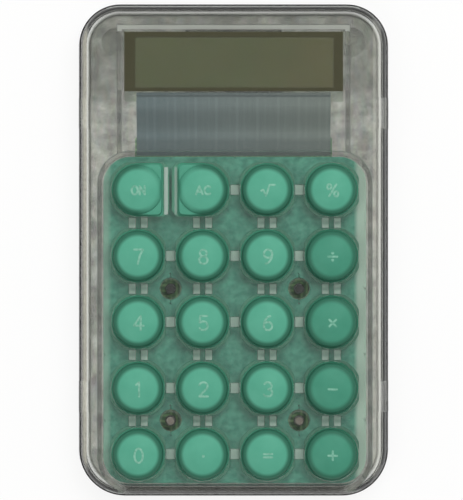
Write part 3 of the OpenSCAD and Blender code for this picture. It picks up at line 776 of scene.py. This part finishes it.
signs = {
    "key_on": [loop(-0.95, 0, 0.72, 1), line(0.25, -1, 0.25, 1, 1.45, -1, 1.45, 1)],
    "key_clear": [
        line(-1.75, -1, -0.95, 1, -0.15, -1),
        line(-1.4, -0.35, -0.5, -0.35),
        arc(1.1, 0, 0.8, 1, 48, 312),
    ],
    "key_root": [line(-1.6, -0.1, -1.15, 0.15, -0.5, -1.3, 0.4, 1.3, 1.6, 1.3)],
    "key_percent": [loop(-0.85, 0.85, 0.5, 0.6), loop(0.85, -0.85, 0.5, 0.6), line(-0.85, -1.4, 0.85, 1.4)],
    "key_0": [loop(0, 0, 1, 1.7)],
    "key_1": [line(-0.6, 1.1, 0.1, 1.7, 0.1, -1.7)],
    "key_2": [np.vstack([arc(0, 0.75, 1, 0.95, 165, -30), line(-1, -1.7, 1.1, -1.7)])],
    "key_3": [np.vstack([arc(-0.05, 0.87, 0.92, 0.83, 150, -85), arc(-0.05, -0.83, 1.08, 0.87, 85, -150)])],
    "key_4": [line(0.5, -1.7, 0.5, 1.7, -1.15, -0.65, 1.15, -0.65)],
    "key_5": [np.vstack([line(0.95, 1.7, -0.75, 1.7, -0.9, 0.15), arc(0, -0.65, 1.05, 1.05, 130, -145)])],
    "key_6": [loop(0, -0.72, 1, 0.98), arc(0.75, -0.72, 1.75, 2.4, 180, 97)],
    "key_7": [line(-1.05, 1.7, 1.05, 1.7, 0.3, 0.3, -0.2, -1.7)],
    "key_8": [loop(0, 0.88, 0.82, 0.8), loop(0, -0.82, 1.02, 0.88)],
    "key_9": [loop(0, 0.72, 1, 0.98), arc(-0.75, 0.72, 1.75, 2.4, 0, -83)],
    "key_divide": [line(-1.1, 0, 1.1, 0), line(-0.02, 0.85, 0.02, 0.85), line(-0.02, -0.85, 0.02, -0.85)],
    "key_multiply": [line(-0.8, 0.8, 0.8, -0.8), line(-0.8, -0.8, 0.8, 0.8)],
    "key_minus": [line(-1, 0, 1, 0)],
    "key_plus": [line(-1.05, 0, 1.05, 0), line(0, 1.05, 0, -1.05)],
    "key_point": [line(-0.03, -0.1, 0.03, -0.1)],
    "key_equals": [line(-1, 0.4, 1, 0.4), line(-1, -0.4, 1, -0.4)],
}


def stroke_rings(path, x, y, half):
    """Rings of a printed line along a path: the path is resampled in even steps of its length, its width
    closes in a half circle at both ends, and each ring is a flat section that follows the sphere of the
    dome."""
    length = np.concatenate([[0], np.cumsum(np.hypot(*np.diff(path, axis=0).T))])
    total = length[-1]
    step, reach = 0.12, 0.03
    even = np.linspace(0, total, max(3, int(total / step)))
    inner = np.unique(np.concatenate([even, length]))
    ends = half * (1 - np.cos(np.linspace(0.15, math.pi / 2, 5)))
    way = np.concatenate([ends - half, inner, total + half - ends[::-1]])
    clamped = np.clip(way, 0, total)
    spot = np.stack([np.interp(clamped, length, axis) for axis in path.T], -1)
    ahead, behind = np.minimum(clamped + reach, total), np.maximum(clamped - reach, 0)
    heading = np.stack(
        [np.interp(ahead, length, axis) - np.interp(behind, length, axis) for axis in path.T], -1
    )
    heading /= np.hypot(*heading.T)[:, None]
    spot = spot + heading * (way - clamped)[:, None]
    over = np.maximum(np.maximum(-way, way - total), 0)
    width = np.sqrt(np.maximum(half**2 - over**2, (0.1 * half) ** 2))
    normal = np.stack([-heading[:, 1], heading[:, 0]], -1) * width[:, None]
    rings = []
    rim = ink_t - 0.01
    for edge, lift in ((1, -ink_root), (1, rim), (0.5, ink_t), (-0.5, ink_t), (-1, rim), (-1, -ink_root)):
        flat = spot + edge * normal
        height = crown_z + np.sqrt(crown_r**2 - (flat**2).sum(1)) + lift
        rings.append(np.stack([x + flat[:, 0], y + flat[:, 1], height], -1))
    return np.stack(rings, 1)


for name, x, y in places:
    for k, path in enumerate(signs[name]):
        dot = np.hypot(*np.diff(path, axis=0).T).sum() < 0.1
        rings = stroke_rings(path + shift, x, y, dot_half if dot else line_half)
        stroke = ringed(f"legend_{name[4:]}_{k}", rings, legend_ink)
        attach(stroke, name)

# ---- Front shell ----
# The front and sides of the case, moulded in the same clear polystyrene. Its guide ribs end in faces given
# frost and a pale tint between the keys: painted highlights for the light the ribs catch.
front_plastic, tree = new_material("smoky_clear_polystyrene_front")
place = add(tree, "TexCoord").outputs["Object"]
flow = add(tree, "TexNoise", {"Vector": place, "Scale": 1 / (9.09 * mm), "Detail": 2})
tint = add(
    tree,
    "Mix",
    {"Factor": flow.outputs["Fac"], "A": linear("#e6e8e4"), "B": linear("#f2f4f0")},
    data_type="RGBA",
)
soft_edge = add(tree, "Bevel", {"Radius": 0.3 * mm}, samples=4)
waves = {"Height": flow.outputs["Fac"], "Strength": 0.3, "Distance": 0.2 * mm, "Normal": soft_edge.outputs[0]}
ripple = add(tree, "Bump", waves)

# The guide ribs reach 1.3 mm below the flanges. Their lower ends get frost and a pale tint as painted
# highlights, brightest at the outer ends of each pair between two rows.
guide_low, slack, keypad_half = flange_low - 1.3, 0.06, 30
row_half, row_gap = half_y * mm, (rows[1] + half_y) * mm
flat = add(tree, "SeparateXYZ", {"Vector": place})
outwards = add(tree, "Math", {0: flat.outputs["X"]}, operation="ABSOLUTE")
low_end = add(tree, "Math", {0: flat.outputs["Z"], 1: guide_low * mm, 2: slack * mm}, operation="COMPARE")
among_keys = add(tree, "Math", {0: outwards.outputs[0], 1: keypad_half * mm}, operation="LESS_THAN")
guide_end = add(tree, "Math", {0: low_end.outputs[0], 1: among_keys.outputs[0]}, operation="MULTIPLY")
from_gap = add(tree, "Math", {0: flat.outputs["Y"], 1: row_gap}, operation="SUBTRACT")
folded = add(tree, "Math", {0: from_gap.outputs[0], 1: row_half}, operation="PINGPONG")
dimmer = {"Value": folded.outputs[0], "From Min": 0.1 * mm, "From Max": 0.7 * mm, "To Min": 0.45, "To Max": 1}
middle = add(tree, "MapRange", dimmer)
speck = add(tree, "TexNoise", {"Vector": place, "Scale": 1 / (0.714 * mm), "Detail": 3})
blotches = {"Value": speck.outputs["Fac"], "From Min": 0.3, "From Max": 0.6, "To Min": 0.7, "To Max": 1}
uneven = add(tree, "MapRange", blotches)
beside_keys = {"Value": folded.outputs[0], "From Min": 3 * mm, "From Max": 4 * mm, "To Min": 1, "To Max": 0.9}
single = add(tree, "MapRange", beside_keys)
brighter = add(tree, "Math", {0: middle.outputs[0], 1: single.outputs[0]}, operation="MULTIPLY")
patch = add(tree, "Math", {0: brighter.outputs[0], 1: uneven.outputs[0]}, operation="MULTIPLY")
guide_highlight = add(tree, "Math", {0: guide_end.outputs[0], 1: patch.outputs[0]}, operation="MULTIPLY")

# Painted highlights: the bar between the first two keys gets white frost along both edges of its top, a wide
# line and a thin one, for the glints off those edges.
wide_x, wide_half, thin_x, thin_half = bar_x - 1, 0.45, bar_x + 1.3, 0.3
bar_y, bar_half = rows[0] - 0.3, 5.7
front = span("top_shell")[1, 2]
wide_edge = add(tree, "Math", {0: flat.outputs["X"], 1: wide_x * mm, 2: wide_half * mm}, operation="COMPARE")
thin_edge = add(tree, "Math", {0: flat.outputs["X"], 1: thin_x * mm, 2: thin_half * mm}, operation="COMPARE")
fainter = add(tree, "Math", {0: thin_edge.outputs[0], 1: 0.55}, operation="MULTIPLY")
edges = add(tree, "Math", {0: wide_edge.outputs[0], 1: fainter.outputs[0]}, operation="ADD")
bar = add(tree, "Math", {0: flat.outputs["Y"], 1: bar_y * mm, 2: bar_half * mm}, operation="COMPARE")
top = add(tree, "Math", {0: flat.outputs["Z"], 1: (front - 0.1) * mm}, operation="GREATER_THAN")
on_top = add(tree, "Math", {0: bar.outputs[0], 1: top.outputs[0]}, operation="MULTIPLY")
wear_and_painted_light = add(tree, "Math", {0: edges.outputs[0], 1: on_top.outputs[0]}, operation="MULTIPLY")
partly_lit_bar_edges = add(tree, "Math", {0: wear_and_painted_light.outputs[0], 1: 0.32}, operation="MULTIPLY")
guide_and_bar_highlights = add(tree, "Math", {0: guide_highlight.outputs[0], 1: partly_lit_bar_edges.outputs[0]}, operation="ADD")

# Painted highlights: the rounding of the left side, and a strip beside the right one, get a pale haze of
# frost for the light refracted at the curved edges.
case_half = span("top_shell")[1, 0]
highlight_in, highlight_out, strip_x, strip_half = 2.7, 1.9, case_half - 3, 1
edge_highlight_ramp = {
    "Value": flat.outputs["X"],
    "From Min": (highlight_in - case_half) * mm,
    "From Max": (highlight_out - case_half) * mm,
    "To Max": 0.42,
}
left = add(tree, "MapRange", edge_highlight_ramp)
right = add(tree, "Math", {0: flat.outputs["X"], 1: strip_x * mm, 2: strip_half * mm}, operation="COMPARE")
right_share = add(tree, "Math", {0: right.outputs[0], 1: 0.15}, operation="MULTIPLY")
sides = add(tree, "Math", {0: left.outputs[0], 1: right_share.outputs[0]}, operation="ADD")
rounding = {"Value": flat.outputs["Z"], "From Min": (front - 1.8) * mm, "From Max": (front - 1) * mm}
upper = add(tree, "MapRange", rounding)
on_edge = add(tree, "Math", {0: sides.outputs[0], 1: upper.outputs[0]}, operation="MULTIPLY")
edge_highlights = add(tree, "Math", {0: on_edge.outputs[0], 1: uneven.outputs[0]}, operation="MULTIPLY")
guide_bar_and_edge_highlights = add(tree, "Math", {0: guide_and_bar_highlights.outputs[0], 1: edge_highlights.outputs[0]}, operation="MAXIMUM")

# The ribs around the display end 9 mm up. The one above it is given frost at its end as well, a painted
# highlight for the light it catches from above.
glass_low, glass_high = span("front_polariser")[:, 1]
display_low = 9.0
past_glass = add(tree, "Math", {0: flat.outputs["Y"], 1: (glass_high + 0.5) * mm}, operation="GREATER_THAN")
at_end = {0: flat.outputs["Z"], 1: display_low * mm, 2: slack / 2 * mm}
display_end = add(tree, "Math", at_end, operation="COMPARE")
above = add(tree, "Math", {0: past_glass.outputs[0], 1: display_end.outputs[0]}, operation="MULTIPLY")
top_rib_highlight = add(tree, "Math", {0: above.outputs[0], 1: 0.6}, operation="MULTIPLY")
frost = add(tree, "Math", {0: guide_bar_and_edge_highlights.outputs[0], 1: top_rib_highlight.outputs[0]}, operation="MAXIMUM")
clear = add(tree, "Math", {0: 1.0, 1: frost.outputs[0]}, operation="SUBTRACT")
haze = add(tree, "MapRange", {"Value": guide_end.outputs[0], "To Min": 0.05, "To Max": 0.6})

# Light leaves the fence around the mat and the ribs beside the ribbon sideways, so their ends are painted
# dark: painted shade.
fence_low, fence_x, rib_x = 7.13, 31, 26.7
fence_end = add(tree, "Math", {0: flat.outputs["Z"], 1: fence_low * mm, 2: slack * mm}, operation="COMPARE")
fence_side = add(tree, "Math", {0: outwards.outputs[0], 1: fence_x * mm}, operation="GREATER_THAN")
fence = add(tree, "Math", {0: fence_end.outputs[0], 1: fence_side.outputs[0]}, operation="MULTIPLY")
rib_side = add(tree, "Math", {0: outwards.outputs[0], 1: rib_x * mm}, operation="GREATER_THAN")
below_glass = add(tree, "Math", {0: flat.outputs["Y"], 1: glass_low * mm}, operation="LESS_THAN")
beside_ribbon = add(tree, "Math", {0: rib_side.outputs[0], 1: below_glass.outputs[0]}, operation="MULTIPLY")
display = add(tree, "Math", {0: display_end.outputs[0], 1: beside_ribbon.outputs[0]}, operation="MULTIPLY")
rib_end = add(tree, "Math", {0: fence.outputs[0], 1: display.outputs[0]}, operation="MAXIMUM")
shaded = add(tree, "Math", {0: rib_end.outputs[0], 1: uneven.outputs["Result"]}, operation="MULTIPLY")

# The tint of each of these: painted shade at the rib ends, painted highlights at the guide ends, a greyer
# rounding at both ends as painted shade, and cream painted highlights on the side edges.
# Painted shade: the rounding at both ends is tinted greyer.
case_end = span("top_shell")[1, 1]
endwards = add(tree, "Math", {0: flat.outputs["Y"]}, operation="ABSOLUTE")
rounded = {"Value": endwards.outputs[0], "From Min": (case_end - 4) * mm, "From Max": (case_end - 1.5) * mm}
end = add(tree, "MapRange", rounded)
tinted = tint
for share, colour in ((shaded, "#8b8f8c"), (guide_end, "#e6fff4"), (end, "#c2c3bf"), (edge_highlights, "#fff6c8")):
    layer = {"Factor": share.outputs[0], "A": tinted.outputs["Result"], "B": linear(colour)}
    tinted = add(tree, "Mix", layer, data_type="RGBA")
body = add(
    tree,
    "BsdfPrincipled",
    {
        "Base Color": tinted.outputs["Result"],
        "Roughness": haze.outputs["Result"],
        "IOR": 1.59,
        "Transmission Weight": clear.outputs[0],
        "Normal": ripple.outputs["Normal"],
    },
)
smoke = add(tree, "VolumeAbsorption", {"Color": linear("#5a5c58"), "Density": 55})
add(tree, "OutputMaterial", {"Surface": lit_through(tree, body, "#fafbf9"), "Volume": smoke.outputs[0]})
give("top_shell", front_plastic)

# ---- Screws and feet ----
# Four case screws: steel painted near black above, as painted shade for the dark of their blind bosses, and
# bare, tarnished steel below. The feet are discs of clear rubber, pressed into the back 0.02 mm clear of
# their recesses.
give("upper_case_screws", grained("near_black_steel_painted_shade", 0.5556, 3, "#0b0b0b", "#1d1c1b", {"Roughness": 0.6}))
tarnished = {"Metallic": 1, "Roughness": 0.45}
give("lower_case_screws", grained("tarnished_steel", 0.667, 4, "#93837b", "#c2b6ae", tarnished))

foot_rubber, tree = new_material("clear_polyurethane_rubber")
place = add(tree, "TexCoord").outputs["Object"]
grain = add(tree, "TexNoise", {"Vector": place, "Scale": 1 / (0.625 * mm), "Detail": 3})
tint = add(
    tree,
    "Mix",
    {"Factor": grain.outputs["Fac"], "A": linear("#dfe1dc"), "B": linear("#eceeea")},
    data_type="RGBA",
)
relief = add(tree, "Bump", {"Height": grain.outputs["Fac"], "Strength": 0.3, "Distance": 0.05 * mm})
body = add(
    tree,
    "BsdfPrincipled",
    {
        "Base Color": tint.outputs["Result"],
        "Roughness": 0.15,
        "IOR": 1.5,
        "Transmission Weight": 1,
        "Normal": relief.outputs["Normal"],
    },
)
add(tree, "OutputMaterial", {"Surface": lit_through(tree, body, "#e4e6e2")})
foot_x, foot_y = span("top_shell")[1, :2] - 9
foot_r, foot_top = 3.48, 0.98
foot_profile = [
    (pole_r, 0),
    (foot_r - 0.58, 0),
    (foot_r - 0.33, 0.03),
    (foot_r - 0.13, 0.13),
    (foot_r - 0.03, 0.3),
    (foot_r, 0.5),
    (foot_r, foot_top - 0.08),
    (foot_r - 0.08, foot_top),
    (pole_r, foot_top),
]
for k, (x, y) in enumerate(((foot_x, foot_y), (-foot_x, foot_y), (-foot_x, -foot_y), (foot_x, -foot_y))):
    foot = turned(f"rubber_foot_{k}", x, y, foot_profile, foot_rubber)
    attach(foot, "case")
    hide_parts("rubber_feet")

# ---- Studio ----
# A pale table, a broad soft lamp from the upper right, a weaker one from the lower left, and an even pale
# surround. Seen directly or through clear plastic the table is white, and it keeps the shadow of the case.
table_paint, tree = new_material("matt_white_table")
seen = add(tree, "LightPath")
either = add(
    tree, "Math", {0: seen.outputs["Is Camera Ray"], 1: seen.outputs["Is Glossy Ray"]}, operation="MAXIMUM"
)
shown = add(tree, "Math", {0: either.outputs[0], 1: seen.outputs["Is Transmission Ray"]}, operation="MAXIMUM")
share = add(tree, "Math", {0: shown.outputs[0], 1: 0.85}, operation="MULTIPLY")
matt = add(tree, "BsdfDiffuse", {"Color": linear("#f4f4f2")})
glow = add(tree, "Emission", {"Color": (1, 1, 1, 1), "Strength": 1})
both = add(tree, "MixShader", {0: share.outputs[0], 1: matt.outputs[0], 2: glow.outputs[0]})
add(tree, "OutputMaterial", {"Surface": both.outputs[0]})
reach, level = 4.0, -0.1 * mm
square = [(-reach, -reach, level), (reach, -reach, level), (reach, reach, level), (-reach, reach, level)]
mesh = bpy.data.meshes.new("table")
mesh.from_pydata(square, [], [(0, 1, 2, 3)])
mesh.materials.append(table_paint)
table = bpy.data.objects.new("table", mesh)
bpy.context.scene.collection.objects.link(table)

world = bpy.data.worlds.new("pale_surround")
world.use_nodes = True
tree = world.node_tree
tree.nodes.clear()
seen = add(tree, "LightPath")
either = add(
    tree,
    "Math",
    {0: seen.outputs["Is Camera Ray"], 1: seen.outputs["Is Transmission Ray"]},
    operation="MAXIMUM",
)
softer = add(tree, "MapRange", {"Value": seen.outputs["Is Glossy Ray"], "To Min": 0.38, "To Max": 0.25})
strength = add(
    tree, "Mix", {"Factor": either.outputs[0], "A": softer.outputs["Result"], "B": 1.0}, data_type="FLOAT"
)
glow = add(tree, "Background", {"Color": (1, 1, 1, 1), "Strength": strength.outputs["Result"]})
add(tree, "OutputWorld", {"Surface": glow.outputs[0]})
bpy.context.scene.world = world


def soft_lamp(name, place, size, power):
    """A square area lamp at place, turned towards the middle of the case. It lights but isn't mirrored in
    the plastic, as behind crossed polarising filters."""
    lamp = bpy.data.lights.new(name, "AREA")
    lamp.size, lamp.energy = size, power
    made = bpy.data.objects.new(name, lamp)
    made.location = place
    made.visible_glossy = made.visible_transmission = False
    spot = np.array(place, float)
    made.rotation_euler = (math.acos(spot[2] / np.linalg.norm(spot)), 0, math.atan2(spot[0], -spot[1]))
    bpy.context.scene.collection.objects.link(made)


soft_lamp("main softbox", (0.25, 0.5, 0.95), 0.8, 8.6)
soft_lamp("fill softbox", (-0.45, -0.35, 0.9), 0.6, 2.2)

# The camera looks straight down from 0.9 m above the parting line. Its height takes in 121 mm there, and the
# case sits 0.5 mm right of its middle.
distance, height_seen, parting = 0.9, 121 * mm, 6.2 * mm
camera = bpy.data.cameras.new("camera")
camera.sensor_width = 36
camera.lens = camera.sensor_width * distance / height_seen
viewer = bpy.data.objects.new("camera", camera)
viewer.location = (-0.5 * mm, 0, distance + parting)
bpy.context.scene.collection.objects.link(viewer)
bpy.context.scene.camera = viewer
bpy.context.scene.view_settings.view_transform = "Standard"
